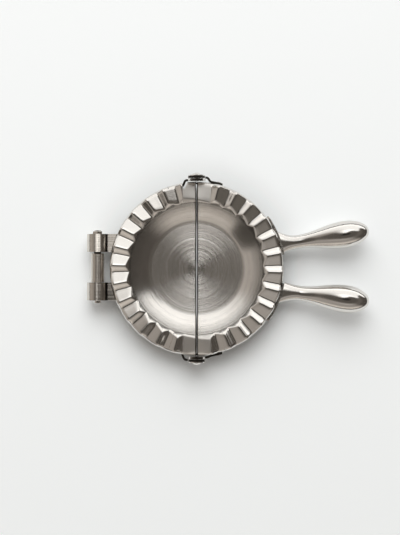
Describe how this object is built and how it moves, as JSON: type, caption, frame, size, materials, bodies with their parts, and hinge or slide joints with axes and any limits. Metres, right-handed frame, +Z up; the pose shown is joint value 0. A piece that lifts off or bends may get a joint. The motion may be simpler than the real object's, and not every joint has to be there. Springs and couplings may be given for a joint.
{
  "type": "empanada press",
  "caption": "Round steel press with fluted rim: two half bowls hinged on their diameter fold over filled dough; bottle-shaped handles on one half, a lifting barrel on the other.",
  "frame": {"origin": "centre of the ring on the table, under the flat base", "axes": "+X from the ring's centre to the handles, +Y along the fold line, +Z up"},
  "size_m": [0.1951, 0.1324, 0.022],
  "materials": {
    "bowl_steel": "polished bowl wall and flutes, turned rings on the flat base",
    "satin_steel": "satin",
    "polished_steel": "polished"
  },
  "bodies": {
    "right_half": {"right_shell": "bowl_steel", "right_ear_back": "satin_steel", "right_ear_front": "satin_steel", "right_ear_rivets": "satin_steel", "hinge_pin_back": "polished_steel", "hinge_washer_back": "polished_steel", "upper_saddle": "satin_steel", "lower_saddle": "satin_steel", "saddle_rivets": "polished_steel", "upper_tang": "satin_steel", "lower_tang": "satin_steel", "upper_handle": "polished_steel", "lower_handle": "polished_steel"},
    "left_half": {"left_shell": "bowl_steel", "left_ear_back": "satin_steel", "left_ear_front": "satin_steel", "left_ear_rivets": "satin_steel", "hinge_pin_front": "polished_steel", "hinge_washer_front": "polished_steel", "upper_knuckle": "satin_steel", "lower_knuckle": "satin_steel", "knuckle_rivets": "satin_steel", "barrel_pin": "satin_steel", "barrel_nut": "satin_steel"},
    "roller": {"barrel_sleeve": "satin_steel"}
  },
  "joints": [
    {"name": "fold", "type": "hinge", "parent": "right_half", "child": "left_half", "pos_m": [0, 0, 0.01525], "axis": [0, 1, 0], "range_deg": [0, 180]},
    {"name": "sleeve_spin", "type": "hinge", "parent": "left_half", "child": "roller", "pos_m": [-0.0686, 0, 0.0081], "axis": [0, 1, 0], "continuous": true}
  ]
}
